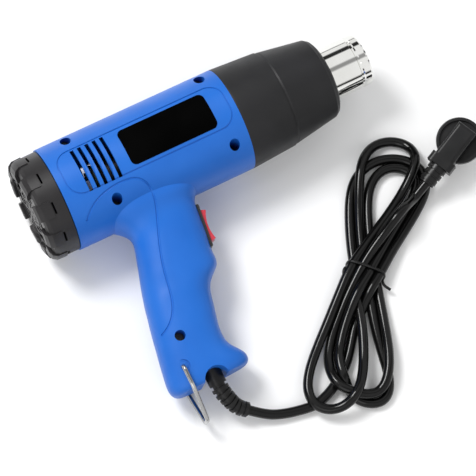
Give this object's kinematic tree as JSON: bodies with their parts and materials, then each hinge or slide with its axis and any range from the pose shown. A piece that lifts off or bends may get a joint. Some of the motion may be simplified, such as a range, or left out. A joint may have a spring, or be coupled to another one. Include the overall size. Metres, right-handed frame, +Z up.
{
  "type": "heat gun",
  "caption": "Hand-held electric heat gun with a hot-air nozzle, rocker switch, wire hanging loop and a mains cord tied in a hank, lying on its side.",
  "frame": {"origin": "on the table under the middle of the gun's bounding box, the cord and plug left out", "axes": "+Z up from the table, +X along the barrel towards the nozzle, the handle points towards -Y"},
  "size_m": [0.3133, 0.2576, 0.0753],
  "materials": {
    "blue_plastic": "fine moulded texture",
    "dark_steel": "blackened",
    "dark_label": "satin, blank",
    "black_plastic": "moulded, satin",
    "collar_plastic": "fine matt texture",
    "zinc_steel": "zinc plated",
    "motor_can": "blackened sheet",
    "inner_plastic": "moulded",
    "fan_plastic": "moulded",
    "circuit_board": "laminate",
    "black_epoxy": "moulded",
    "nozzle_steel": "polished, faint turning lines",
    "mica": "pearly sheet",
    "ceramic": "unglazed",
    "resistance_wire": "oxidised",
    "switch_plastic": "semi-gloss",
    "red_plastic": "semi-gloss",
    "brass_plate": "tinned",
    "wire_steel": "drawn wire",
    "black_rubber": "moulded, satin",
    "cord_sheath": "smooth sheath",
    "tie_plastic": "coated wire",
    "brown_wire": "insulation",
    "blue_wire": "insulation",
    "red_wire": "insulation",
    "nickel_pins": "nickel plated",
    "filter_steel": "perforated sheet"
  },
  "bodies": {
    "housing": {"housing_left": "blue_plastic", "housing_right": "blue_plastic", "housing_screws": "dark_steel", "side_label": "dark_label", "rear_cap": "black_plastic", "intake_filter": "filter_steel", "fan_motor": "motor_can", "motor_mount": "inner_plastic", "motor_screws": "zinc_steel", "air_duct": "inner_plastic", "duct_screws": "zinc_steel", "rectifier_board": "circuit_board", "rectifier_diodes": "black_epoxy", "nozzle_tube": "nozzle_steel", "heater_liner": "mica", "heater_base": "ceramic", "heater_former": "mica", "heater_coil": "resistance_wire", "thermal_cutout": "zinc_steel", "front_collar": "collar_plastic", "switch_body": "switch_plastic", "switch_terminals": "brass_plate", "strain_relief": "black_rubber", "cord_tail": "cord_sheath", "cord_clamp": "inner_plastic", "clamp_screws": "zinc_steel", "lead_live": "brown_wire", "lead_neutral": "blue_wire", "lead_heater": "red_wire", "cord_lead": "cord_sheath", "cord_hank": "cord_sheath", "cord_tie": "tie_plastic", "cord_plug_lead": "cord_sheath", "plug_body": "black_rubber", "plug_pins": "nickel_pins"},
    "rocker": {"switch_rocker": "red_plastic"},
    "loop": {"hanging_loop": "wire_steel"},
    "rotor": {"motor_shaft": "zinc_steel", "fan_impeller": "fan_plastic"}
  },
  "joints": [
    {"name": "rocker_tilt", "type": "hinge", "parent": "housing", "child": "rocker", "pos_m": [-0.02589, 0.01498, 0.03086], "axis": [0, -0.1097, 0.994], "range_deg": [-12, 12]},
    {"name": "loop_swing", "type": "hinge", "parent": "housing", "child": "loop", "pos_m": [-0.0848, -0.06651, 0.02186], "axis": [0, -0.1097, 0.994], "range_deg": [-100, 20]},
    {"name": "fan_spin", "type": "hinge", "parent": "housing", "child": "rotor", "pos_m": [-0.0295, 0.07513, 0.0375], "axis": [1, 0, 0], "continuous": true}
  ]
}
